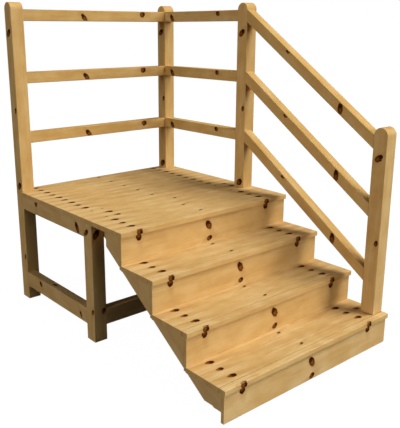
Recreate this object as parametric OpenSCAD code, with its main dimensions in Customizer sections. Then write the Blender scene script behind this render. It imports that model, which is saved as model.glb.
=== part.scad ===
// Wooden deck stairs: a raised platform on timber legs, guard rails on the
// back and the right side, and a flight of four risers running down in front.
// Millimetres, +X to the right, +Y up the flight to the back, +Z up.

/* [Platform] */
// Width of the frame across the outer faces of the posts
frame_w = 1332; // [1000:1:1700]
// Depth of the frame from the front legs' faces to the back posts' faces
frame_d = 962; // [750:1:1300]
// Side of the square posts, legs and newel
post_w = 89; // [70:1:110]
// How far the top nosing stands in front of the front legs
top_reach = 317.5; // [250:0.5:400]

/* [Boards] */
// Width of one deck or tread board
board_w = 80.5; // [60:0.5:100]
// Open joint left between boards
board_gap = 2; // [1:0.5:6]
// Thickness of the boards and of the nosing strips
board_t = 29; // [20:1:40]
// Width of the nosing strip along each front edge
nosing_w = 42; // [25:1:60]
// How far the boards run past the frame at each end
board_over = 5; // [0:1:12]
// Clearance between a notched board and the post it passes
notch_gap = 1; // [0.5:0.5:4]

/* [Flight] */
// Height of one rise
rise = 190; // [150:1:200]
// How far the legs' feet are below the line of a full lowest rise
leg_drop = 23; // [0:1:40]
// Number of boards behind each nosing strip
tread_boards = 3; // [2:1:4]
// How far a nosing stands in front of the riser below it
nosing_over = 11; // [5:1:20]
// Joint between the back of a tread and the riser behind it
tread_gap = 0.5; // [0.5:0.5:3]
// Thickness of the riser boards
riser_t = 21; // [15:1:30]
// Height of the lowest riser's bottom edge above the ground
ground_gap = 26; // [10:1:40]

/* [Stringers] */
// Thickness of the stringers and carriages
string_t = 45; // [30:1:60]
// Timber left below the notches of a carriage, square to its lower edge
throat = 78; // [50:1:110]
// Length of the top tooth of an end stringer, along the flight
tooth_top = 130.5; // [100:0.5:160]
// Height of the level cut at the foot of an end stringer
tooth_foot = 90; // [50:1:120]

/* [Frame] */
// Depth of the deck beams and joists
beam_h = 90; // [70:1:120]
// Thickness of the deck beams and joists
beam_t = 45; // [30:1:60]
// Depth of the low stretchers
stretcher_h = 106; // [70:1:130]
// Thickness of the low stretchers
stretcher_t = 58; // [40:1:80]
// Height of the stretchers' lower edge above the ground
stretcher_z = 100; // [60:1:160]

/* [Guard rails] */
// Height of the top rail's upper face above the deck
rail_top = 1198; // [900:1:1250]
// Distance from one rail to the next, top face to top face
rail_pitch = 398; // [300:1:420]
// Depth of the level rails
rail_h = 72; // [50:1:90]
// Thickness of all the rails
rail_t = 68; // [45:1:80]
// Depth of the sloping stair rails, square to their length
stair_rail_h = 66; // [45:1:85]
// Newel's front face behind the front edge of the bottom nosing
newel_set = 43; // [20:1:80]

/* [Hidden] */
$fn = 96;
pine = [0.85, 0.68, 0.43];
pine_pale = [0.89, 0.74, 0.50];
pine_deep = [0.76, 0.57, 0.34];

step_n = 4;
deck_h = step_n * rise + leg_drop;
pitch = board_w + board_gap;
tread_d = tread_boards * pitch + nosing_w;
going = tread_d + tread_gap - nosing_over;
under = deck_h - board_t;
nose_y = -top_reach;
deck_n = round((frame_d + top_reach - nosing_w) / pitch) - tread_boards;
slope = rise / going;
slope_len = sqrt(1 + slope * slope);
front_y = nose_y - (step_n - 1) * going;
mid_y = (frame_d + front_y) / 2;
spring_z = deck_h + rail_top;
inner = frame_w - post_w;
newel_y = front_y + newel_set;
stair_run = -(newel_y + post_w);
newel_z = deck_h - (step_n - 1) * rise;
newel_spring = spring_z - stair_run * slope;

// front face of riser k, counted from the top
function riser_y(k) = nose_y - k * going + nosing_over;
// back face of riser k
function riser_back(k) = riser_y(k) + riser_t;
// underside of tread k
function tread_under(k) = under - k * rise;
// lower edge of an end stringer, through the riser's front bottom corners
function tooth_line(y) = tread_under(1) + (y - riser_y(0)) * slope;
// lower edge of a carriage, its throat below the notches
function carriage_line(y) = tread_under(1) + (y - riser_back(0)) * slope - throat * slope_len;

// puts the part's footprint centre on the origin
module place() {
    translate([-frame_w / 2, -mid_y, 0]) children();
}

// a plate drawn in the side view (y, z) and run along +X
module side_plate(x, t, pts) {
    translate([x, 0, 0])
        rotate([90, 0, 90])
            linear_extrude(height = t)
                polygon(pts);
}

// a post with a half-round top, its arch seen from the side
module round_post(x, y, z0, spring) {
    translate([x, y, z0])
        cube([post_w, post_w, spring - z0]);
    translate([x, y + post_w / 2, spring])
        rotate([0, 90, 0])
            cylinder(h = post_w, d = post_w);
}

module post_back_left() {
    color(pine) place() round_post(0, frame_d - post_w, 0, spring_z);
}

module post_back_right() {
    color(pine) place() round_post(inner, frame_d - post_w, 0, spring_z);
}

module post_front_right() {
    color(pine) place() round_post(inner, 0, 0, spring_z);
}

// stops under the deck boards
module leg_front_left() {
    color(pine) place() cube([post_w, post_w, under]);
}

// stands on the bottom tread
module newel_post() {
    color(pine) place() round_post(inner, newel_y, newel_z, newel_spring);
}

// level rail k between the back posts, flush with their front faces
module back_rail(k) {
    color(pine_pale) place()
        translate([post_w, frame_d - post_w, spring_z - k * rail_pitch - rail_h])
            cube([inner - post_w, rail_t, rail_h]);
}

module back_rail_top() { back_rail(0); }
module back_rail_middle() { back_rail(1); }
module back_rail_lower() { back_rail(2); }

// level rail k between the right-hand posts, flush with their inner faces
module side_rail(k) {
    color(pine_pale) place()
        translate([inner, post_w, spring_z - k * rail_pitch - rail_h])
            cube([rail_t, frame_d - 2 * post_w, rail_h]);
}

module side_rail_top() { side_rail(0); }
module side_rail_middle() { side_rail(1); }
module side_rail_lower() { side_rail(2); }

// sloping rail k, cut upright against the post and the newel
module stair_rail(k) {
    z = spring_z - k * rail_pitch;
    v = stair_rail_h * slope_len;
    drop = stair_run * slope;
    color(pine_pale) place()
        side_plate(inner, rail_t, [
            [0, z], [-stair_run, z - drop], [-stair_run, z - drop - v], [0, z - v]
        ]);
}

module stair_rail_top() { stair_rail(0); }
module stair_rail_middle() { stair_rail(1); }
module stair_rail_lower() { stair_rail(2); }

module beam_left() {
    color(pine_deep) place()
        translate([0, post_w, under - beam_h])
            cube([beam_t, frame_d - 2 * post_w, beam_h]);
}

module beam_right() {
    color(pine_deep) place()
        translate([frame_w - beam_t, post_w, under - beam_h])
            cube([beam_t, frame_d - 2 * post_w, beam_h]);
}

module beam_front() {
    color(pine_deep) place()
        translate([post_w, 0, under - beam_h])
            cube([inner - post_w, beam_t, beam_h]);
}

module beam_back() {
    color(pine_deep) place()
        translate([post_w, frame_d - beam_t, under - beam_h])
            cube([inner - post_w, beam_t, beam_h]);
}

// a joist centred on x, its ends against the front and back beams
module joist(x) {
    color(pine_deep) place()
        translate([x - beam_t / 2, beam_t, under - beam_h])
            cube([beam_t, frame_d - 2 * beam_t, beam_h]);
}

module joist_left() { joist(frame_w / 3); }
module joist_right() { joist(frame_w * 2 / 3); }

module stretcher_left() {
    color(pine_deep) place()
        translate([0, post_w, stretcher_z])
            cube([stretcher_t, frame_d - 2 * post_w, stretcher_h]);
}

module stretcher_right() {
    color(pine_deep) place()
        translate([frame_w - stretcher_t, post_w, stretcher_z])
            cube([stretcher_t, frame_d - 2 * post_w, stretcher_h]);
}

module stretcher_front() {
    color(pine_deep) place()
        translate([post_w, 0, stretcher_z])
            cube([inner - post_w, stretcher_t, stretcher_h]);
}

// an end stringer: one tooth behind each riser, cut back to the inner corners
module end_stringer(x) {
    last = step_n - 1;
    top_back = riser_back(0) + tooth_top;
    color(pine) place() {
        side_plate(x, string_t, [
            [riser_back(0), under], [riser_back(0), tooth_line(riser_back(0))],
            [top_back, tooth_line(top_back)], [top_back, under]
        ]);
        for (k = [1 : last - 1])
            side_plate(x, string_t, [
                [riser_back(k), tread_under(k)], [riser_back(k), tooth_line(riser_back(k))],
                [riser_y(k - 1), tread_under(k)]
            ]);
        side_plate(x, string_t, [
            [riser_back(last), tread_under(last)], [riser_back(last), tooth_foot],
            [riser_y(last - 1) - (tread_under(last) - tooth_foot) / slope, tooth_foot],
            [riser_y(last - 1), tread_under(last)]
        ]);
    }
}

module end_stringer_left() { end_stringer(0); }
module end_stringer_right() { end_stringer(frame_w - string_t); }

// a notched carriage from the front beam down to the ground
module carriage(x) {
    last = step_n - 1;
    heel = riser_back(0) + (throat * slope_len - tread_under(1)) / slope;
    notches = [for (k = [0 : last], e = [0, 1])
        [riser_back(k), e == 0 ? tread_under(k) : (k < last ? tread_under(k + 1) : ground_gap)]];
    color(pine_deep) place()
        side_plate(x, string_t, concat(
            [[0, carriage_line(0)], [0, under]], notches,
            [[riser_back(last) + ground_gap, 0], [heel, 0]]
        ));
}

module carriage_left() { carriage(post_w); }
module carriage_centre() { carriage((frame_w - string_t) / 2); }
module carriage_right() { carriage(inner - string_t); }

// riser k, from the nosing above it down to the underside of the tread below
module riser(k) {
    bottom = k < step_n - 1 ? tread_under(k + 1) : ground_gap;
    color(pine_pale) place()
        translate([0, riser_y(k), bottom])
            cube([frame_w, riser_t, tread_under(k) - bottom]);
}

module riser_1() { riser(0); }
module riser_2() { riser(1); }
module riser_3() { riser(2); }
module riser_4() { riser(3); }

// one board from front edge y to back edge y1, its top face at z
module board(y, y1, z) {
    translate([-board_over, y, z - board_t])
        cube([frame_w + 2 * board_over, y1 - y, board_t]);
}

// the room a post needs through the deck, open to the outer edge
module post_room(x, y) {
    translate([x, y - notch_gap, under - 1])
        cube([post_w + 2 * notch_gap + board_over, post_w + 2 * notch_gap, board_t + 2]);
}

// the platform's boards, notched round the posts that pass through them
module deck_boards() {
    y0 = nose_y + nosing_w + board_gap + tread_boards * pitch;
    color(pine_pale) place()
        difference() {
            for (i = [0 : deck_n - 1])
                board(y0 + i * pitch,
                      i == deck_n - 1 ? frame_d : y0 + i * pitch + board_w, deck_h);
            post_room(-board_over - notch_gap, frame_d - post_w);
            post_room(inner - notch_gap, frame_d - post_w);
            post_room(inner - notch_gap, 0);
        }
}

// the boards of tread k behind its nosing strip; the top one clears the post beside it
module tread(k) {
    y0 = nose_y - k * going + nosing_w + board_gap;
    color(pine_pale) place()
        difference() {
            for (i = [0 : tread_boards - 1])
                board(y0 + i * pitch, y0 + i * pitch + board_w, deck_h - k * rise);
            if (k == 0) post_room(inner - notch_gap, 0);
        }
}

module tread_1() { tread(0); }
module tread_2() { tread(1); }
module tread_3() { tread(2); }
module tread_4() { tread(3); }

// the strip along the front edge of tread k
module nosing(k) {
    y0 = nose_y - k * going;
    color(pine_pale) place()
        board(y0, y0 + nosing_w, deck_h - k * rise);
}

module nosing_1() { nosing(0); }
module nosing_2() { nosing(1); }
module nosing_3() { nosing(2); }
module nosing_4() { nosing(3); }

post_back_left();
post_back_right();
post_front_right();
leg_front_left();
newel_post();
back_rail_top();
back_rail_middle();
back_rail_lower();
side_rail_top();
side_rail_middle();
side_rail_lower();
stair_rail_top();
stair_rail_middle();
stair_rail_lower();
beam_left();
beam_right();
beam_front();
beam_back();
joist_left();
joist_right();
stretcher_left();
stretcher_right();
stretcher_front();
end_stringer_left();
end_stringer_right();
carriage_left();
carriage_centre();
carriage_right();
riser_1();
riser_2();
riser_3();
riser_4();
deck_boards();
tread_1();
tread_2();
tread_3();
tread_4();
nosing_1();
nosing_2();
nosing_3();
nosing_4();
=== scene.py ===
import math
import random
from collections import namedtuple

import bmesh
import bpy
from bpy.props import FloatProperty, FloatVectorProperty, IntProperty, PointerProperty
from mathutils import Matrix, Vector


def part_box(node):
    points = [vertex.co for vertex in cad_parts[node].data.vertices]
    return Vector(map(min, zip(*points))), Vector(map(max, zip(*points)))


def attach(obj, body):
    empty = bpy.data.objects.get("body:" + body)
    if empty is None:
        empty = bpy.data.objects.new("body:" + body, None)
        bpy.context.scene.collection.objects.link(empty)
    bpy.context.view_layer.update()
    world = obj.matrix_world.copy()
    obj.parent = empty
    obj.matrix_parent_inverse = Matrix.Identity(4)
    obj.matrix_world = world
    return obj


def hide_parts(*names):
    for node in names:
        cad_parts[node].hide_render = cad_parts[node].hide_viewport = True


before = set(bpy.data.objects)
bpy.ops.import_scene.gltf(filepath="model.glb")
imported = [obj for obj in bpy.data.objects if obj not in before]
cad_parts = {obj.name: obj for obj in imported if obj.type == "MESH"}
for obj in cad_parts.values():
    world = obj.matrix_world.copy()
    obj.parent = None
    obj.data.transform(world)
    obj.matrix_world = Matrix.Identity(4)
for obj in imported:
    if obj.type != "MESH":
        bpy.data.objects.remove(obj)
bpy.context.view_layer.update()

bl_info = {
    "name": "Wooden Deck Stairs",
    "version": (1, 0, 0),
    "blender": (4, 5, 0),
    "location": "View3D > Sidebar > Deck Stairs",
    "description": "Builds a pine platform with guard rails and a flight of four steps",
    "category": "Add Mesh",
}

# The front-left leg's outer front corner, at ground level: knots are placed from here.
CORNER = Vector((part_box("leg_front_left")[0].x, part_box("leg_front_left")[0].y, 0.0))
BOARD_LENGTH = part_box("deck_boards")[1].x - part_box("deck_boards")[0].x


# ---------------------------------------------------------------- settings

class StairTimberSizes(bpy.types.PropertyGroup):
    """How the timbers are finished at their edges and joints"""

    post_arris: FloatProperty(
        name="Post arris", description="Radius of the eased edges on posts and legs",
        default=0.004, min=0.0005, max=0.01, unit="LENGTH", subtype="DISTANCE")
    rail_arris: FloatProperty(
        name="Rail arris", description="Radius of the eased edges on the rails",
        default=0.004, min=0.0005, max=0.01, unit="LENGTH", subtype="DISTANCE")
    frame_arris: FloatProperty(
        name="Frame arris", description="Radius of the eased edges on beams, joists and stringers",
        default=0.0025, min=0.0005, max=0.01, unit="LENGTH", subtype="DISTANCE")
    board_arris: FloatProperty(
        name="Board arris", description="Radius of the eased edges on deck and tread boards",
        default=0.0007, min=0.0003, max=0.004, unit="LENGTH", subtype="DISTANCE")
    nosing_arris: FloatProperty(
        name="Nosing arris", description="Radius of the eased edges on nosings and risers",
        default=0.0025, min=0.0003, max=0.008, unit="LENGTH", subtype="DISTANCE")
    board_pitch: FloatProperty(
        name="Board pitch", description="Distance from one board to the next",
        default=0.0825, min=0.04, max=0.2, unit="LENGTH", subtype="DISTANCE")
    board_joint: FloatProperty(
        name="Board joint", description="Open joint seen between neighbouring boards",
        default=0.0009, min=0.0005, max=0.01, unit="LENGTH", subtype="DISTANCE")
    notch_room: FloatProperty(
        name="Notch room", description="Clearance between a notched board and its post",
        default=0.001, min=0.0, max=0.005, unit="LENGTH", subtype="DISTANCE")
    throat: FloatProperty(
        name="Carriage throat",
        description="Timber left below a carriage's notches, square to its lower edge",
        default=0.078, min=0.04, max=0.15, unit="LENGTH", subtype="DISTANCE")
    stair_rail_depth: FloatProperty(
        name="Stair rail depth", description="Depth of a sloping rail, square to its length",
        default=0.066, min=0.04, max=0.1, unit="LENGTH", subtype="DISTANCE")
    arch_steps: IntProperty(
        name="Arch steps", description="Facets in each quarter of a post's half-round top",
        default=20, min=4, max=48)
    arris_steps: IntProperty(
        name="Arris steps", description="Facets across an eased edge",
        default=3, min=1, max=6)


class StairPineFinish(bpy.types.PropertyGroup):
    """The pine's colours and surface"""

    wood_colour: FloatVectorProperty(
        name="Wood", description="The planed wood's main colour",
        default=(0.612, 0.384, 0.143), size=3, min=0.0, max=1.0, subtype="COLOR")
    cream_colour: FloatVectorProperty(
        name="Cream", description="Pale sapwood, in soft patches",
        default=(0.690, 0.480, 0.215), size=3, min=0.0, max=1.0, subtype="COLOR")
    late_colour: FloatVectorProperty(
        name="Late wood",
        description="Darker wood of the growth rings and of the streaks at the knots",
        default=(0.440, 0.225, 0.068), size=3, min=0.0, max=1.0, subtype="COLOR")
    branch_colour: FloatVectorProperty(
        name="Branch wood", description="Red-brown wood of a knot",
        default=(0.190, 0.064, 0.007), size=3, min=0.0, max=1.0, subtype="COLOR")
    bark_colour: FloatVectorProperty(
        name="Knot rim", description="Dark bark round a knot and at its darker end",
        default=(0.046, 0.0075, 0.0), size=3, min=0.0, max=1.0, subtype="COLOR")
    ring_pitch: FloatProperty(
        name="Ring pitch", description="Distance from one growth ring to the next",
        default=0.0055, min=0.001, max=0.02, unit="LENGTH", subtype="DISTANCE")
    roughness: FloatProperty(
        name="Roughness", description="Roughness of the planed surface",
        default=0.55, min=0.05, max=1.0, subtype="FACTOR")
    relief: FloatProperty(
        name="Grain relief", description="Height of the grain's relief",
        default=0.0003, min=0.0, max=0.003, unit="LENGTH", subtype="DISTANCE")


class StairStage(bpy.types.PropertyGroup):
    """Floor, light and camera"""

    floor_colour: FloatVectorProperty(
        name="Floor", description="Colour of the studio floor",
        default=(1.0, 1.0, 1.0), size=3, min=0.0, max=1.0, subtype="COLOR")
    floor_radius: FloatProperty(
        name="Floor radius", description="Radius of the round studio floor",
        default=14.0, min=4.0, max=40.0, unit="LENGTH", subtype="DISTANCE")
    key_strength: FloatProperty(
        name="Key light", description="Strength of the high light, in front on the right",
        default=2.64, min=0.0, max=20.0)
    front_strength: FloatProperty(
        name="Front light", description="Strength of the low light from the front",
        default=1.24, min=0.0, max=20.0)
    low_strength: FloatProperty(
        name="Low light", description="Strength of the low light straight from the front",
        default=0.47, min=0.0, max=20.0)
    fill_strength: FloatProperty(
        name="Fill light", description="Strength of the light from the left",
        default=0.91, min=0.0, max=20.0)
    light_spread: FloatProperty(
        name="Light spread", description="How wide each light looks, which softens its shadows",
        default=math.radians(26), min=0.0, max=math.pi, unit="ROTATION", subtype="ANGLE")
    sky_strength: FloatProperty(
        name="Sky light", description="Strength of the even light from all round",
        default=0.125, min=0.0, max=5.0)
    camera_place: FloatVectorProperty(
        name="Camera place", description="Where the camera stands",
        default=(-2.53375, -2.99129, 1.86208), size=3, unit="LENGTH", subtype="TRANSLATION")
    camera_turn: FloatProperty(
        name="Camera turn", description="Heading of the camera, from +Y towards +X",
        default=0.69405, unit="ROTATION", subtype="ANGLE")
    camera_tilt: FloatProperty(
        name="Camera tilt", description="How far the camera looks down",
        default=0.26389, unit="ROTATION", subtype="ANGLE")
    camera_lens: FloatProperty(
        name="Camera lens", description="Focal length on a 36 mm sensor",
        default=53.95, min=10.0, max=200.0, unit="CAMERA")


# ---------------------------------------------------------------- shader arithmetic

class Wire:
    """A socket in a material; arithmetic on it adds Math nodes."""

    def __init__(self, tree, socket=None):
        self.tree, self.socket = tree, socket

    def node(self, kind, settings=None, inputs=None, output=0):
        """Adds a node, sets it up, then feeds its sockets; returns one of its outputs."""
        made = self.tree.nodes.new(kind)
        for name, value in (settings or {}).items():
            if name == "stops":
                ramp = made.color_ramp
                for place, _ in value[1:-1]:
                    ramp.elements.new(place)
                for stop, (place, colour) in zip(ramp.elements, value):
                    stop.position, stop.color = place, (*colour, 1.0)
            else:
                setattr(made, name, value)
        for name, value in (inputs or {}).items():
            if isinstance(value, Wire):
                self.tree.links.new(value.socket, made.inputs[name])
            else:
                made.inputs[name].default_value = value
        return Wire(self.tree, made.outputs[output] if made.outputs else None)

    def math(self, operation, *values):
        return self.node("ShaderNodeMath", {"operation": operation}, dict(enumerate(values)))

    def __add__(self, other):
        return self.math("ADD", self, other)

    __radd__ = __add__

    def __sub__(self, other):
        return self.math("SUBTRACT", self, other)

    def __rsub__(self, other):
        return self.math("SUBTRACT", other, self)

    def __mul__(self, other):
        return self.math("MULTIPLY", self, other)

    __rmul__ = __mul__

    def __truediv__(self, other):
        return self.math("DIVIDE", self, other)

    def __rtruediv__(self, other):
        return self.math("DIVIDE", other, self)

    def __pow__(self, other):
        return self.math("POWER", self, other)

    def __rpow__(self, other):
        return self.math("POWER", other, self)

    def root(self):
        return self.math("SQRT", self)

    def fraction(self):
        return self.math("FRACT", self)

    def low(self, other):
        return self.math("MINIMUM", self, other)

    def high(self, other):
        return self.math("MAXIMUM", self, other)

    def step(self, start, end, to_start=0.0, to_end=1.0):
        """A smooth step from to_start at start to to_end at end."""
        return self.node("ShaderNodeMapRange", {"interpolation_type": "SMOOTHSTEP"},
                         {0: self, 1: start, 2: end, 3: to_start, 4: to_end})

    def parts(self):
        """This vector's three parts."""
        split = self.node("ShaderNodeSeparateXYZ", inputs={0: self}).socket.node
        return [Wire(self.tree, out) for out in split.outputs]

    def noise(self, scale, roughness=0.5):
        """Noise from 0 to 1 over this vector, with a scale for each of its parts."""
        scaled = self.node("ShaderNodeVectorMath", {"operation": "MULTIPLY"}, {0: self, 1: scale})
        return self.node("ShaderNodeTexNoise", inputs={
            "Vector": scaled, "Scale": 1.0, "Detail": 2.0, "Roughness": roughness})

    def mix(self, first, second):
        """Two colours mixed, with this value as the second one's share."""
        return self.node("ShaderNodeMix", {"data_type": "RGBA", "blend_type": "MIX"},
                         {0: self, 6: first, 7: second}, output=2)


# ---------------------------------------------------------------- pine

KNOTS_PER_FACE = 4
# where a face has fewer knots, the spare ones lie out of reach
FAR_AWAY = (99.0, 99.0, 0.0)
# added to a knot's darkness to say that it has a tail
TAIL_CODE = 2
# how far the noise pushes a knot's outline along and across the grain, in half sizes
KNOT_WAVER = (0.55, 0.75)
# a tail draws one end of a knot out, narrows it and thins its colour by these shares
TAIL_STRETCH, TAIL_TAPER, TAIL_FADE = 0.28, 0.55, 0.45
# middle of a knot's dark end, in half sizes from the knot's own, and how much less with a tail
DARK_END, DARK_END_TAILED = 0.62, 0.20

# noise along, across and through the grain, per metre
WANDER_SCALE = (1.1, 7.0, 7.0)
RIPPLE_SCALE = (9.0, 60.0, 60.0)
WAVER_SCALES = ((55.0, 88.0, 88.0), (90.0, 144.0, 144.0))
BLOTCH_SCALE = (8.0, 13.0, 13.0)
FIGURE_SCALE = (2.6, 22.0, 22.0)
STREAK_SCALE = (3.0, 70.0, 70.0)
FIBRE_SCALE = (12.0, 420.0, 420.0)

# how far the growth rings are pushed from round, in metres
RING_WANDER, RING_RIPPLE, RING_PAST_KNOT = 0.030, 0.004, 0.006

# where a board's edges turn pale: shares of its length, and how pale it is there
PALE_PLACES = (
    (0.0, 0.8), (0.11, 0.9), (0.17, 0.15), (0.33, 0.1), (0.38, 0.85), (0.43, 0.45), (0.485, 0.85),
    (0.52, 0.4), (0.555, 0.8), (0.60, 0.1), (0.71, 0.15), (0.75, 0.7), (0.82, 0.35), (1.0, 0.6))


def rgba(colour):
    return (*colour, 1.0)


def most(values):
    """The highest of some values."""
    top = values[0]
    for value in values[1:]:
        top = top.high(value)
    return top


def knot_masks(wire, waver):
    """Where a face's knots are: branch wood, dark bark, and the stain that runs along the grain."""
    branch, bark, stain = [], [], []
    for index in range(KNOTS_PER_FACE):
        spot = wire.node("ShaderNodeAttribute", {"attribute_name": f"knot_{index + 1}"}, output=1)
        along, across, code = spot.parts()
        tail = code.step(1.2, 1.8)
        dark = code - tail * TAIL_CODE
        along, across = along + waver[0] * KNOT_WAVER[0], across + waver[1] * KNOT_WAVER[1]
        along = along.high(along * (1.0 - tail * TAIL_STRETCH))
        across = across * ((along * -TAIL_TAPER).high(0.0) * tail + 1.0)
        square = across ** 2
        away = (along ** 2 + square).root()
        faded = (along * -1.0).step(0.1, 1.3) * tail * TAIL_FADE
        branch.append(away.step(1.22, 0.92) * dark * (1.0 - faded))
        rim = away.step(0.36, 0.82) * along.step(-0.9, 0.5, 0.22 - tail * 0.16, 1.0)
        end = ((along - DARK_END + tail * DARK_END_TAILED) ** 2 + square * 0.7).root()
        end = end.step(0.70 + tail * 0.22, 0.30 + tail * 0.10)
        bark.append(rim.high(end) * away.step(1.14, 0.96) * dark)
        run = ((along * (0.24 - tail * 0.15)) ** 2 + square * 0.40).root()
        stain.append(run.step(1.25, 0.25) * (dark + 0.15))
    return most(branch), most(bark), most(stain)


def pine_material(name, finish, share):
    """Planed pine: growth rings cut by each face, fibres, pale patches, knots, duller end grain."""
    material = bpy.data.materials.new(name)
    material.use_nodes = True
    tree = material.node_tree
    tree.nodes.clear()
    wire = Wire(tree)

    grain = wire.node("ShaderNodeAttribute", {"attribute_name": "grain"}, output=1)
    cut = wire.node("ShaderNodeAttribute", {"attribute_name": "cut"}, output=1)
    board_tone, end_cut, edge = cut.parts()
    wood_colour = rgba([part * own for part, own in zip(finish.wood_colour, share)])
    here = wire.node("ShaderNodeTexCoord", output=3)

    wander = grain.noise(WANDER_SCALE) - 0.5
    ripple = grain.noise(RIPPLE_SCALE) - 0.5
    waver = [grain.noise(scale) - 0.5 for scale in WAVER_SCALES]
    branch, bark, stain = knot_masks(wire, waver)

    # growth rings round the heart, pushed aside by the knots
    _, across, through = grain.parts()
    radius = ((across ** 2 + through ** 2).root() + wander * RING_WANDER + ripple * RING_RIPPLE
              + stain * RING_PAST_KNOT)
    ring = (radius / finish.ring_pitch).fraction()
    late = ring.step(0.25, 0.86) * ring.step(0.90, 1.0, 1.0, 0.0)

    # soft blotches, and broad figure, streaks and fine fibres drawn out along the piece
    blotch = grain.noise(BLOTCH_SCALE)
    figure = grain.noise(FIGURE_SCALE)
    streak = grain.noise(STREAK_SCALE, 0.6)
    fibre = grain.noise(FIBRE_SCALE, 0.6)

    # pale patches along the long edges of the boards, at the same places on each
    far = (here.parts()[0] - CORNER.x) / BOARD_LENGTH + wander * 0.05
    stops = [(place, (paleness,) * 3) for place, paleness in PALE_PLACES]
    pale = wire.node("ShaderNodeValToRGB", {"stops": stops}, {0: far}).parts()[0]
    pale = pale * (edge.math("ABSOLUTE", edge) + ripple * 0.5).step(0.20, 0.85)

    # sapwood, then late wood, a shade of each board's own, and the knots over all
    cream = (pale * 0.95 + figure.step(0.50, 0.70) * 0.30 + blotch.step(0.48, 0.66) * 0.34).low(1.0)
    wood = cream.mix(wood_colour, rgba(finish.cream_colour))
    darker = (late * (figure * 0.34 + 0.03) + figure.step(0.50, 0.30) * 0.20
              + streak.step(0.50, 0.70) * 0.10 + blotch.step(0.50, 0.34) * 0.16
              + end_cut * late * 0.22)
    wood = darker.mix(wood, rgba(finish.late_colour))
    light = fibre * 0.10 + board_tone * 0.02 + 0.975 - end_cut * 0.02
    shade = wire.node("ShaderNodeCombineXYZ", inputs={0: light, 1: light, 2: light})
    wood = wire.node("ShaderNodeMix", {"data_type": "RGBA", "blend_type": "MULTIPLY"},
                     {0: 1.0, 6: wood, 7: shade}, output=2)
    wood = (stain * 0.36).mix(wood, rgba(finish.late_colour))
    wood = (branch * 1.3).low(0.98).mix(wood, rgba(finish.branch_colour))
    wood = (bark * 1.3).low(0.98).mix(wood, rgba(finish.bark_colour))

    rough = finish.roughness + (fibre - 0.5) * 0.25 + late * 0.05 + bark * 0.10 + end_cut * 0.15
    height = late * 0.3 + fibre.step(0.2, 0.8) * 0.5 + branch * 0.8
    bump = wire.node("ShaderNodeBump", inputs={
        "Strength": 0.3, "Distance": finish.relief, "Height": height})
    shader = wire.node("ShaderNodeBsdfPrincipled", inputs={
        "Base Color": wood, "Roughness": rough, "Normal": bump, "IOR": 1.45,
        "Specular IOR Level": 0.04})
    wire.node("ShaderNodeOutputMaterial", inputs={0: shader})
    return material


# each slot's own share of the wood's red, green and blue
SLOT_SHARES = {"post_timber": (1.0, 1.0, 0.93), "rail_timber": (0.98, 0.97, 0.84),
               "frame_timber": (1.0, 1.0, 1.0), "board_timber": (1.0, 1.0, 0.96)}


def pine_for(slot):
    """The pine of one material slot, made once."""
    name = f"pine_{slot}"
    if name not in bpy.data.materials:
        pine_material(name, bpy.context.scene.stair_pine, SLOT_SHARES[slot])
    return bpy.data.materials[name]


# ---------------------------------------------------------------- timbers

# centre: metres from CORNER; long and wide: half sizes; lean: turn of its long way from the grain
# dark: 0 to 1; tail: 1 where the knot is drawn out at its paler end
Knot = namedtuple("Knot", "face centre long wide lean dark tail", defaults=(0.0, 1.0, 0))

HIDDEN_SIDES = ("right", "back", "under")

# how far a timber's heart lies from its middle: a post is cut from near the heart
TIMBER_HEART = (0.05, 0.11)
POST_HEART = (0.02, 0.05)

# a piece may differ from its CAD node's box by this much
BOX_SLACK = 0.002
# edges that turn more than this are eased
SHARP_EDGE = math.radians(30)
SAME_PLACE = 1e-5

FACINGS = {
    "left": Vector((-1, 0, 0)), "right": Vector((1, 0, 0)), "front": Vector((0, -1, 0)),
    "back": Vector((0, 1, 0)), "under": Vector((0, 0, -1)), "top": Vector((0, 0, 1)),
}
ALONG_X, ALONG_Y, ALONG_Z = Vector((1, 0, 0)), Vector((0, 1, 0)), Vector((0, 0, 1))


def facing(normal):
    """The name of the side that a normal looks to."""
    return max(FACINGS, key=lambda name: FACINGS[name].dot(normal))


def new_block(bm, low, high):
    """A rectangular timber between two corners; returns its vertices."""
    place = Matrix.Translation((low + high) / 2) @ Matrix.Diagonal((*(high - low), 1.0))
    return bmesh.ops.create_cube(bm, size=1.0, matrix=place)["verts"]


def new_plate(bm, outline, depth):
    """A flat outline raised into a plate by the vector depth; returns its vertices."""
    corners = [bm.verts.new(point) for point in outline]
    face = bm.faces.new(corners)
    raised = bmesh.ops.extrude_face_region(bm, geom=[face])["geom"]
    moved = [part for part in raised if isinstance(part, bmesh.types.BMVert)]
    bmesh.ops.translate(bm, verts=moved, vec=depth)
    verts = corners + moved
    bmesh.ops.recalc_face_normals(bm, faces=faces_of(verts))
    return verts


def edges_of(verts):
    """The edges at some vertices, each once."""
    return list(dict.fromkeys(edge for vert in verts for edge in vert.link_edges))


def faces_of(verts):
    """The faces at some vertices, each once."""
    return list(dict.fromkeys(face for vert in verts for face in vert.link_faces))


def round_top(bm, verts, steps):
    """Rounds a post's top into a half cylinder along X; returns all its vertices."""
    top = max(vert.co.z for vert in verts)
    ridge = [edge for edge in edges_of(verts)
             if all(abs(vert.co.z - top) < SAME_PLACE for vert in edge.verts)
             and abs(edge.verts[0].co.y - edge.verts[1].co.y) < SAME_PLACE]
    width = abs(ridge[0].verts[0].co.y - ridge[1].verts[0].co.y)
    bmesh.ops.bevel(bm, geom=ridge, offset=width / 2, offset_type="OFFSET", segments=steps,
                    profile=0.5, affect="EDGES", material=-1, clamp_overlap=False)
    bmesh.ops.remove_doubles(bm, verts=bm.verts[:], dist=SAME_PLACE)
    return bm.verts[:]


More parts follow.
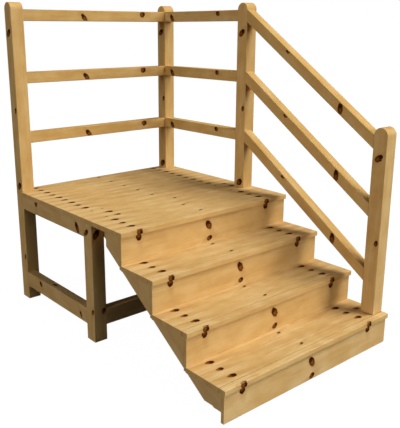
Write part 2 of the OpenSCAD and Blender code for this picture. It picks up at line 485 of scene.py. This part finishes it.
def ease(bm, verts, radius, steps, along=None):
    """Rounds the outer edges of one timber, or only those that run along it."""
    def runs_along(edge):
        return abs((edge.verts[0].co - edge.verts[1].co).normalized().dot(along)) > 0.99

    sharp = [edge for edge in edges_of(verts)
             if edge.is_convex and edge.calc_face_angle(0.0) > SHARP_EDGE
             and (along is None or runs_along(edge))]
    bmesh.ops.bevel(bm, geom=sharp, offset=radius, offset_type="OFFSET", segments=steps,
                    profile=0.5, affect="EDGES", material=-1, clamp_overlap=True)


class Timbers:
    """One piece: its timbers share a mesh, and each has its own heart, grain and knots."""

    # knots strewn on the hidden sides: where the first one lies, the room between two,
    # the room left at the end, the half length, and the most of it that fits a narrow side
    FIRST_KNOT, KNOT_PITCH, END_ROOM = (0.10, 0.35), (0.25, 0.60), 0.05
    KNOT_HALF, NARROW_SHARE = (0.008, 0.020), 0.4

    def __init__(self, node):
        self.node, self.bm = node, bmesh.new()
        self.dice = random.Random(node)
        self.grain = self.bm.verts.layers.float_vector.new("grain")
        self.cut = self.bm.loops.layers.float_vector.new("cut")
        self.spots = [self.bm.loops.layers.float_vector.new(f"knot_{index + 1}")
                      for index in range(KNOTS_PER_FACE)]

    def add(self, make, along, arris, knots=(), heart_far=TIMBER_HEART, butted=False,
            paleness=None):
        """Makes a timber, eases it and marks its grain; make takes the mesh and returns vertices.

        butted eases only the long edges. paleness takes a facing and a place across the timber,
        from -1 to 1, and gives how pale the wood is there."""
        sizes = bpy.context.scene.stair_timbers
        older = set(self.bm.verts)
        ease(self.bm, make(self.bm), arris, sizes.arris_steps, along if butted else None)
        verts = [vert for vert in self.bm.verts if vert not in older]

        side = ALONG_Z if abs(along.x) > 0.5 else ALONG_X
        across = along.cross(side).normalized()
        through = along.cross(across).normalized()
        axes = (along, across, through)
        centre = sum((vert.co for vert in verts), Vector()) / len(verts)
        # the heart is never level with the timber's middle, so two of its sides show long figure
        turn = self.dice.uniform(0, math.tau)
        far = self.dice.uniform(*heart_far)
        heart = Vector((self.dice.uniform(-40, 40), far * math.cos(turn) * 0.5,
                        far * math.copysign(max(abs(math.sin(turn)), 0.6), math.sin(turn))))
        for vert in verts:
            place = vert.co - centre
            vert[self.grain] = Vector([place.dot(axis) for axis in axes]) + heart

        half = max(abs((vert.co - centre).dot(across)) for vert in verts)
        knots = list(knots) + self.strewn(verts, along)
        tone = self.dice.uniform(-1, 1)
        for face in faces_of(verts):
            look = facing(face.normal)
            ends = 1.0 if abs(face.normal.dot(along)) > 0.8 else 0.0
            mine = [knot for knot in knots if knot.face == look][:KNOTS_PER_FACE]
            width_way = along.cross(face.normal).normalized() if ends == 0.0 else across
            for loop in face.loops:
                share = (loop.vert.co - centre).dot(across) / half
                loop[self.cut] = (tone, ends, paleness(look, share) if paleness else 0.0)
                for index, layer in enumerate(self.spots):
                    loop[layer] = (self.to_knot(loop.vert.co, mine[index], along, width_way)
                                   if index < len(mine) else FAR_AWAY)
        return self

    def strewn(self, verts, along):
        """Knots here and there on the sides that face away."""
        knots = []
        for look in HIDDEN_SIDES:
            normal = FACINGS[look]
            if abs(normal.dot(along)) > 0.5:
                continue
            width_way = along.cross(normal).normalized()
            places = [[(vert.co - CORNER).dot(way) for vert in verts]
                      for way in (along, width_way, normal)]
            (start, end), (low, high), (_, outside) = [(min(each), max(each)) for each in places]
            place = start + self.dice.uniform(*self.FIRST_KNOT)
            laid = 0
            while place < end - self.END_ROOM and laid < KNOTS_PER_FACE:
                over = low + (high - low) * self.dice.uniform(0.25, 0.75)
                centre = along * place + width_way * over + normal * outside
                size = min(self.dice.uniform(*self.KNOT_HALF), (high - low) * self.NARROW_SHARE)
                knots.append(Knot(look, tuple(centre), size, size * self.dice.uniform(0.5, 0.8),
                                  self.dice.uniform(-1.0, 1.0), self.dice.uniform(0.3, 1.0)))
                laid += 1
                place += self.dice.uniform(*self.KNOT_PITCH)
        return knots

    @staticmethod
    def to_knot(point, knot, along, width_way):
        """A point's place in a knot's own frame, in half sizes, then its darkness and tail."""
        away = point - CORNER - Vector(knot.centre)
        long, wide = away.dot(along), away.dot(width_way)
        cos, sin = math.cos(knot.lean), math.sin(knot.lean)
        return ((long * cos + wide * sin) / knot.long, (wide * cos - long * sin) / knot.wide,
                knot.dark + TAIL_CODE * knot.tail)

    def finish(self, slot):
        """Turns the timbers into a finished piece that stands for its CAD node."""
        mesh = bpy.data.meshes.new(f"{self.node}_timber")
        self.bm.normal_update()
        self.bm.to_mesh(mesh)
        self.bm.free()
        mesh.materials.append(pine_for(slot))
        mesh.shade_smooth()
        piece = bpy.data.objects.new(f"{self.node}_timber", mesh)
        bpy.context.scene.collection.objects.link(piece)
        weigh = piece.modifiers.new("flat faces", "WEIGHTED_NORMAL")
        weigh.keep_sharp = True
        low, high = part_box(self.node)
        mine = [vert.co for vert in mesh.vertices]
        for axis in range(3):
            ends = min(co[axis] for co in mine), max(co[axis] for co in mine)
            if max(abs(ends[0] - low[axis]), abs(ends[1] - high[axis])) > BOX_SLACK:
                raise RuntimeError(f"{piece.name} doesn't fill the box of {self.node}: {ends}, "
                                   f"{low[axis]:.4f} to {high[axis]:.4f}")
        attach(piece, "root")
        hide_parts(self.node)
        return piece


# ---------------------------------------------------------------- knots

# the newel's knots are lower than the tall posts' by this share of what it is shorter
NEWEL_DROP = 0.974


def post_knots(low, lower=0.0):
    """Knots up a post's left face, the same on each, or lower by so much on a shorter post."""
    y = low.y - CORNER.y
    return [Knot("left", (0, y + 0.046, 1.833 - lower), 0.028, 0.017, 0.90),
            Knot("left", (0, y + 0.020, 1.335 - lower), 0.018, 0.011, 0.25, 0.9),
            Knot("left", (0, y + 0.038, 0.819 - lower), 0.029, 0.019, 0.80),
            Knot("left", (0, y + 0.019, 0.312 - lower), 0.018, 0.010, 0.30, 0.9)]


LEG_KNOTS = (
    Knot("left", (0, 0.057, 0.697), 0.026, 0.013, 0.80, 0.9),
    Knot("left", (0, 0.016, 0.197), 0.018, 0.010, 0.3),
    Knot("front", (0.033, 0, 0.691), 0.028, 0.017, 0.60),
    Knot("front", (0.069, 0, 0.195), 0.018, 0.012, 0.3, 0.8))

FRAME_KNOTS = {
    "beam_left": (Knot("left", (0, 0.683, 0.745), 0.023, 0.017, math.pi / 2),
                  Knot("left", (0, 0.160, 0.704), 0.034, 0.016, 1.10, 0.9)),
    "stretcher_left": (Knot("left", (0, 0.680, 0.171), 0.018, 0.014, 0.8),
                       Knot("top", (0.03, 0.531, 0), 0.02, 0.010),
                       Knot("left", (0, 0.159, 0.138), 0.020, 0.009, 1.0, 0.8),
                       Knot("left", (0, 0.112, 0.212), 0.012, 0.007, 0.0, 0.6)),
}

# kinds of board knot: half length, half width, lean and darkness
BOARD_KINDS = {
    "dark": (0.022, 0.0145, 0.15, 1.0), "mid": (0.020, 0.0130, 0.12, 0.72),
    "brown": (0.019, 0.0125, 0.15, 0.60), "small": (0.014, 0.0080, -0.30, 0.60),
    "faint": (0.011, 0.0065, -0.30, 0.35),
}
# a board's knots: how far along it from CORNER, and their kind
EVEN_BOARD = ((0.120, "mid"), (1.150, "mid"))
ODD_BOARD = ((0.125, "dark"), (0.644, "small"), (1.156, "dark"))
FIRST_BOARDS = (
    ((0.200, "mid"), (0.118, "faint"), (1.147, "faint")),
    ((0.193, "dark"), (0.708, "small"), (1.230, "dark")),
    ((0.118, "faint"), (0.195, "faint"), (1.147, "faint"), (1.230, "brown")),
)


def pale_edges(look, across):
    """A board's top turns pale towards its long edges."""
    return across if look == "top" else 0.0


def pale_top(look, across):
    """A nosing's top is pale all over."""
    return 1.0 if look == "top" else 0.0


def pale_front(look, across):
    """Half pale in front, as the lowest riser and the newel are."""
    return 0.62 if look == "front" else 0.0


def board_knots(places, y):
    """Knots in a row along a board's top."""
    return [Knot("top", (x, y, 0), *BOARD_KINDS[kind], 1) for x, kind in places]


# ---------------------------------------------------------------- operators

class Builder(bpy.types.Operator):
    """Shared by the operators that build pieces"""
    bl_options = {"REGISTER", "UNDO"}

    @property
    def sizes(self):
        return bpy.context.scene.stair_timbers


def block(node):
    """A maker of the rectangular timber that fills a CAD node's box."""
    low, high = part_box(node)
    return lambda bm: new_block(bm, low, high)


class STAIRS_OT_posts(Builder):
    """Build the tall posts, the front-left leg and the newel"""
    bl_idname = "stairs.posts"
    bl_label = "Posts and Leg"

    def execute(self, context):
        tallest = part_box("post_back_left")[1].z
        for node in ("post_back_left", "post_back_right", "post_front_right", "newel_post"):
            low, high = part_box(node)
            steps = self.sizes.arch_steps
            Timbers(node).add(
                lambda bm: round_top(bm, new_block(bm, low, high), steps), ALONG_Z,
                self.sizes.post_arris, post_knots(low, (tallest - high.z) * NEWEL_DROP), POST_HEART,
                paleness=pale_front if node == "newel_post" else None).finish("post_timber")
        Timbers("leg_front_left").add(
            block("leg_front_left"), ALONG_Z, self.sizes.post_arris, LEG_KNOTS,
            POST_HEART).finish("post_timber")
        return {"FINISHED"}


class STAIRS_OT_level_rails(Builder):
    """Build the level guard rails along the back and the right side"""
    bl_idname = "stairs.level_rails"
    bl_label = "Level Rails"

    def execute(self, context):
        for level in ("top", "middle", "lower"):
            node = f"back_rail_{level}"
            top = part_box(node)[1].z
            knots = [Knot("front", (0.541, 0, top - 0.049), 0.030, 0.0150, 0.85 + math.pi, 0.95),
                     Knot("front", (1.036, 0, top - 0.021), 0.021, 0.020, 0.0, 0.9)]
            Timbers(node).add(block(node), ALONG_X, self.sizes.rail_arris, knots,
                              butted=True).finish("rail_timber")
            node = f"side_rail_{level}"
            knots = [Knot("left", (0, 0.783, top - 0.047), 0.029, 0.015, 1.00, 0.95),
                     Knot("left", (0, 0.282, top - 0.020), 0.018, 0.015, 0.3, 0.8)]
            Timbers(node).add(block(node), ALONG_Y, self.sizes.rail_arris, knots,
                              butted=True).finish("rail_timber")
        return {"FINISHED"}


class STAIRS_OT_stair_rails(Builder):
    """Build the sloping rails from the front-right post down to the newel"""
    bl_idname = "stairs.stair_rails"
    bl_label = "Stair Rails"

    def execute(self, context):
        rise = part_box("nosing_1")[1].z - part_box("nosing_2")[1].z
        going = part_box("nosing_1")[0].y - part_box("nosing_2")[0].y
        slope = rise / going
        cut = self.sizes.stair_rail_depth * math.hypot(1.0, slope)
        uphill = Vector((0, 1, slope)).normalized()
        upright = math.pi / 2 - math.atan(slope)
        for level in ("top", "middle", "lower"):
            node = f"stair_rail_{level}"
            low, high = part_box(node)
            outline = [Vector((low.x, high.y, high.z)), Vector((low.x, low.y, low.z + cut)),
                       Vector((low.x, low.y, low.z)), Vector((low.x, high.y, high.z - cut))]
            top = high.z
            knots = [
                Knot("left", (0, -0.363, top - 0.363 * slope - 0.011), 0.015, 0.010, -0.2, 0.9),
                Knot("left", (0, -0.782, top - 0.782 * slope - 0.042), 0.033, 0.0165, upright,
                     0.95)]
            Timbers(node).add(
                lambda bm: new_plate(bm, outline, Vector((high.x - low.x, 0, 0))),
                uphill, self.sizes.rail_arris, knots, butted=True).finish("rail_timber")
        return {"FINISHED"}


class STAIRS_OT_frame(Builder):
    """Build the deck's beams and joists and the low stretchers"""
    bl_idname = "stairs.frame"
    bl_label = "Beams and Stretchers"

    def execute(self, context):
        lengthwise = ("beam_left", "beam_right", "joist_left", "joist_right",
                      "stretcher_left", "stretcher_right")
        for node in (*lengthwise, "beam_front", "beam_back", "stretcher_front"):
            Timbers(node).add(block(node), ALONG_Y if node in lengthwise else ALONG_X,
                              self.sizes.frame_arris, FRAME_KNOTS.get(node, ()),
                              butted=True).finish("frame_timber")
        return {"FINISHED"}


STEPS = range(1, 5)


def riser_lines():
    """The flight's steps: each riser's front and back, and the underside of the tread on it."""
    return [(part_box(f"riser_{k}")[0].y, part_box(f"riser_{k}")[1].y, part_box(f"tread_{k}")[0].z)
            for k in STEPS]


class STAIRS_OT_stringers(Builder):
    """Build the toothed end stringers and the notched carriages between them"""
    bl_idname = "stairs.stringers"
    bl_label = "Stringers and Carriages"

    def execute(self, context):
        steps = riser_lines()
        slope = (steps[0][2] - steps[1][2]) / (steps[0][0] - steps[1][0])
        uphill = Vector((0, 1, slope)).normalized()

        def edge(y):
            """The height of the teeth's lower edge."""
            return steps[1][2] + (y - steps[0][0]) * slope

        for node in ("end_stringer_left", "end_stringer_right"):
            low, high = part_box(node)
            width = Vector((high.x - low.x, 0, 0))
            first, last = steps[0], steps[-1]
            teeth = [[(first[1], first[2]), (first[1], edge(first[1])),
                      (high.y, edge(high.y)), (high.y, first[2])]]
            for above, here in zip(steps[:-2], steps[1:-1]):
                teeth.append([(here[1], here[2]), (here[1], edge(here[1])), (above[0], here[2])])
            above = steps[-2]
            teeth.append([(last[1], last[2]), (last[1], low.z),
                          (above[0] - (last[2] - low.z) / slope, low.z), (above[0], last[2])])
            piece = Timbers(node)
            for tooth in teeth:
                outline = [Vector((low.x, y, z)) for y, z in tooth]
                piece.add(lambda bm: new_plate(bm, outline, width), uphill, self.sizes.frame_arris)
            piece.finish("frame_timber")

        # a carriage steps down behind the risers and stands on the ground at its toe
        drop = self.sizes.throat * math.hypot(1.0, slope)
        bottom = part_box("riser_4")[0].z
        heel = steps[0][1] + (drop - steps[1][2]) / slope
        for node in ("carriage_left", "carriage_centre", "carriage_right"):
            low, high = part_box(node)
            points = [(high.y, steps[1][2] + (high.y - steps[0][1]) * slope - drop),
                      (high.y, high.z)]
            for index, (_, back, tread) in enumerate(steps):
                below = steps[index + 1][2] if index < len(steps) - 1 else bottom
                points += [(back, tread), (back, below)]
            points += [(steps[-1][1] + bottom, 0.0), (heel, 0.0)]
            outline = [Vector((low.x, y, z)) for y, z in points]
            Timbers(node).add(
                lambda bm: new_plate(bm, outline, Vector((high.x - low.x, 0, 0))),
                uphill, self.sizes.frame_arris).finish("frame_timber")
        return {"FINISHED"}


class STAIRS_OT_risers(Builder):
    """Build the four riser boards"""
    bl_idname = "stairs.risers"
    bl_label = "Risers"

    def execute(self, context):
        for step in STEPS:
            node = f"riser_{step}"
            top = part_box(node)[1].z
            knots = [Knot("front", (0.648, 0, top - 0.051), 0.031, 0.0190, 1.00 + math.pi, 0.95),
                     Knot("front", (0.655, 0, top - 0.136), 0.020, 0.0140, -0.35, 1.0),
                     Knot("front", (0.122, 0, top - 0.017), 0.020, 0.0175, 1.4, 1.0),
                     Knot("front", (1.148, 0, top - 0.017), 0.020, 0.0175, 1.4, 1.0)]
            paleness = pale_front if step == STEPS[-1] else None
            Timbers(node).add(block(node), ALONG_X, self.sizes.nosing_arris, knots,
                              paleness=paleness).finish("board_timber")
        return {"FINISHED"}


def notched_outline(low, high, rooms):
    """A board's outline seen from above, cut back at its ends where a post's room reaches it."""
    left, right = [(low.y, low.x), (high.y, low.x)], [(low.y, high.x), (high.y, high.x)]
    for room_low, room_high in rooms:
        start, end = max(low.y, room_low.y), min(high.y, room_high.y)
        if end - start < SAME_PLACE:
            continue
        at_left = room_low.x < low.x + SAME_PLACE
        side, cut_x = (left, room_high.x) if at_left else (right, room_low.x)
        full_x = low.x if at_left else high.x
        side[:] = [(start, cut_x), (end, cut_x)]
        if start > low.y + SAME_PLACE:
            side[:0] = [(low.y, full_x), (start, full_x)]
        if end < high.y - SAME_PLACE:
            side += [(end, full_x), (high.y, full_x)]
    return [Vector((x, y, low.z)) for y, x in left + right[::-1]]


class STAIRS_OT_boards(Builder):
    """Build the platform's boards, the treads and their nosings"""
    bl_idname = "stairs.boards"
    bl_label = "Boards and Nosings"

    def execute(self, context):
        pitch = self.sizes.board_pitch
        width = pitch - self.sizes.board_joint

        # platform boards, notched round the posts that pass through them
        low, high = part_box("deck_boards")
        room = self.sizes.notch_room
        wide = high.x - low.x
        rooms = []
        for post in ("post_back_left", "post_back_right", "post_front_right"):
            post_low, post_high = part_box(post)
            at_left = post_low.x < 0
            room_left, room_right = (wide, room) if at_left else (room, wide)
            rooms.append((Vector((post_low.x - room_left, post_low.y - room, 0)),
                          Vector((post_high.x + room_right, post_high.y + room, 0))))
        count = round((high.y - low.y) / pitch)
        deck = Timbers("deck_boards")
        for index in range(count):
            start = low.y + index * pitch
            end = high.y if index == count - 1 else start + width
            outline = notched_outline(Vector((low.x, start, low.z)), Vector((high.x, end, high.z)),
                                      rooms)
            places = (FIRST_BOARDS[index] if index < len(FIRST_BOARDS)
                      else (EVEN_BOARD, ODD_BOARD)[index % 2])
            knots = board_knots(places, (start + end) / 2 - CORNER.y)
            deck.add(lambda bm: new_plate(bm, outline, Vector((0, 0, high.z - low.z))),
                     ALONG_X, self.sizes.board_arris, knots, paleness=pale_edges)
        deck.finish("board_timber")

        for step in STEPS:
            node = f"tread_{step}"
            low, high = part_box(node)
            tread = Timbers(node)
            for index in range(round((high.y - low.y) / pitch)):
                start = low.y + index * pitch
                end = min(start + width, high.y)
                corner_low = Vector((low.x, start, low.z))
                corner_high = Vector((high.x, end, high.z))
                places = EVEN_BOARD if index == 1 else ODD_BOARD
                if step == STEPS[-1] and index == 1:
                    places += ((1.250, "brown"),)
                tread.add(lambda bm: new_block(bm, corner_low, corner_high), ALONG_X,
                          self.sizes.board_arris, board_knots(places, (start + end) / 2 - CORNER.y),
                          paleness=pale_edges)
            tread.finish("board_timber")
            node = f"nosing_{step}"
            low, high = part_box(node)
            front = low.y - CORNER.y
            knots = []
            for x in (0.123, 1.147):
                knots += [Knot("front", (x, front, high.z - 0.015), 0.020, 0.0165, 0.3, 1.0),
                          Knot("top", (x, front + 0.004, high.z), 0.019, 0.008, 0.0, 0.5)]
            Timbers(node).add(block(node), ALONG_X, self.sizes.nosing_arris, knots,
                              paleness=pale_top).finish("board_timber")
        return {"FINISHED"}


# ---------------------------------------------------------------- stage

# how much of its light the floor gives back, its glow as the camera sees it, its place and edge
FLOOR_BOUNCE, FLOOR_GLOW, FLOOR_LEVEL, FLOOR_SIDES = 0.04, 0.99, -0.0005, 96

WHITE = (1.0, 1.0, 1.0)
# each light's turn from the front towards the right, its height in degrees, and its colour
LIGHTS = {"key": (45, 60, WHITE), "front": (30, 12, WHITE), "low": (0, 12, WHITE),
          "fill": (270, 18, (1.0, 1.0, 1.05))}

# how far the view is shifted, the sensor's width in millimetres, the nearest and furthest seen
CAMERA_SHIFT, SENSOR_WIDTH, CAMERA_REACH = (0.0387, -0.0288), 36.0, (0.05, 100.0)


def studio_floor_material(colour):
    """A pale floor that reads white and takes a faint soft shadow."""
    material = bpy.data.materials.new("studio_floor")
    material.use_nodes = True
    tree = material.node_tree
    tree.nodes.clear()
    wire = Wire(tree)
    seen = wire.node("ShaderNodeLightPath", output=0)
    dim = rgba([FLOOR_BOUNCE * part for part in colour])
    matt = wire.node("ShaderNodeBsdfDiffuse", inputs={"Color": dim})
    glow = wire.node("ShaderNodeEmission", inputs={"Color": rgba(colour), "Strength": FLOOR_GLOW})
    both = wire.node("ShaderNodeAddShader", inputs={0: glow, 1: matt})
    wire.node("ShaderNodeOutputMaterial", inputs={
        0: wire.node("ShaderNodeMixShader", inputs={0: seen, 1: matt, 2: both})})
    return material


def aim(thing, direction):
    """Turns a light or camera to look along a direction."""
    thing.rotation_euler = Vector(direction).to_track_quat("-Z", "Y").to_euler()


def new_sun(name, turn, height, strength, colour, spread):
    """A far light, turned from the front towards the right and raised above the floor."""
    light = bpy.data.lights.new(name, "SUN")
    light.energy, light.color, light.angle = strength, colour, spread
    sun = bpy.data.objects.new(name, light)
    bpy.context.scene.collection.objects.link(sun)
    aim(sun, (-math.sin(turn) * math.cos(height), math.cos(turn) * math.cos(height),
              -math.sin(height)))


class STAIRS_OT_stage(bpy.types.Operator):
    """Set up the floor, the soft studio light and the camera"""
    bl_idname = "stairs.stage"
    bl_label = "Stage"
    bl_options = {"REGISTER", "UNDO"}

    def execute(self, context):
        scene = context.scene
        stage = scene.stair_stage

        bm = bmesh.new()
        bmesh.ops.create_circle(bm, cap_ends=True, segments=FLOOR_SIDES, radius=stage.floor_radius,
                                matrix=Matrix.Translation((0, 0, FLOOR_LEVEL)))
        mesh = bpy.data.meshes.new("studio_floor")
        bm.to_mesh(mesh)
        bm.free()
        mesh.materials.append(studio_floor_material(stage.floor_colour))
        floor = bpy.data.objects.new("studio_floor", mesh)
        scene.collection.objects.link(floor)

        world = bpy.data.worlds.new("studio")
        world.use_nodes = True
        world.node_tree.nodes.clear()
        wire = Wire(world.node_tree)
        seen = wire.node("ShaderNodeLightPath", output=0)
        sky = wire.node("ShaderNodeBackground", inputs={0: rgba(WHITE), 1: stage.sky_strength})
        white = wire.node("ShaderNodeBackground", inputs={0: rgba(WHITE), 1: 1.0})
        wire.node("ShaderNodeOutputWorld", inputs={
            0: wire.node("ShaderNodeMixShader", inputs={0: seen, 1: sky, 2: white})})
        scene.world = world

        for name, (turn, height, colour) in LIGHTS.items():
            new_sun(name, math.radians(turn), math.radians(height),
                    getattr(stage, f"{name}_strength"), colour, stage.light_spread)

        lens = bpy.data.cameras.new("camera")
        lens.lens, lens.sensor_width, lens.sensor_fit = stage.camera_lens, SENSOR_WIDTH, "AUTO"
        lens.shift_x, lens.shift_y = CAMERA_SHIFT
        lens.clip_start, lens.clip_end = CAMERA_REACH
        camera = bpy.data.objects.new("camera", lens)
        camera.location = stage.camera_place
        turn, tilt = stage.camera_turn, stage.camera_tilt
        aim(camera, (math.sin(turn) * math.cos(tilt), math.cos(turn) * math.cos(tilt),
                     -math.sin(tilt)))
        scene.collection.objects.link(camera)
        scene.camera = camera
        scene.view_settings.view_transform = "Standard"
        scene.view_settings.look = "None"
        return {"FINISHED"}


class STAIRS_PT_panel(bpy.types.Panel):
    """Lists the stairs' building steps in the sidebar"""
    bl_idname = "STAIRS_PT_panel"
    bl_label = "Deck Stairs"
    bl_space_type = "VIEW_3D"
    bl_region_type = "UI"
    bl_category = "Deck Stairs"

    def draw(self, context):
        for maker in MAKERS:
            self.layout.operator(maker.bl_idname)
        scene = context.scene
        for group in (scene.stair_timbers, scene.stair_pine, scene.stair_stage):
            box = self.layout.box()
            for name in group.__annotations__:
                box.prop(group, name)


MAKERS = (STAIRS_OT_posts, STAIRS_OT_level_rails, STAIRS_OT_stair_rails, STAIRS_OT_frame,
          STAIRS_OT_stringers, STAIRS_OT_risers, STAIRS_OT_boards, STAIRS_OT_stage)
CLASSES = (StairTimberSizes, StairPineFinish, StairStage, *MAKERS, STAIRS_PT_panel)


def register():
    for each in CLASSES:
        bpy.utils.register_class(each)
    bpy.types.Scene.stair_timbers = PointerProperty(type=StairTimberSizes)
    bpy.types.Scene.stair_pine = PointerProperty(type=StairPineFinish)
    bpy.types.Scene.stair_stage = PointerProperty(type=StairStage)


def unregister():
    del bpy.types.Scene.stair_timbers
    del bpy.types.Scene.stair_pine
    del bpy.types.Scene.stair_stage
    for each in reversed(CLASSES):
        bpy.utils.unregister_class(each)


def main():
    register()
    bpy.ops.stairs.posts()
    bpy.ops.stairs.level_rails()
    bpy.ops.stairs.stair_rails()
    bpy.ops.stairs.frame()
    bpy.ops.stairs.stringers()
    bpy.ops.stairs.risers()
    bpy.ops.stairs.boards()
    bpy.ops.stairs.stage()


if __name__ == "__main__":
    main()
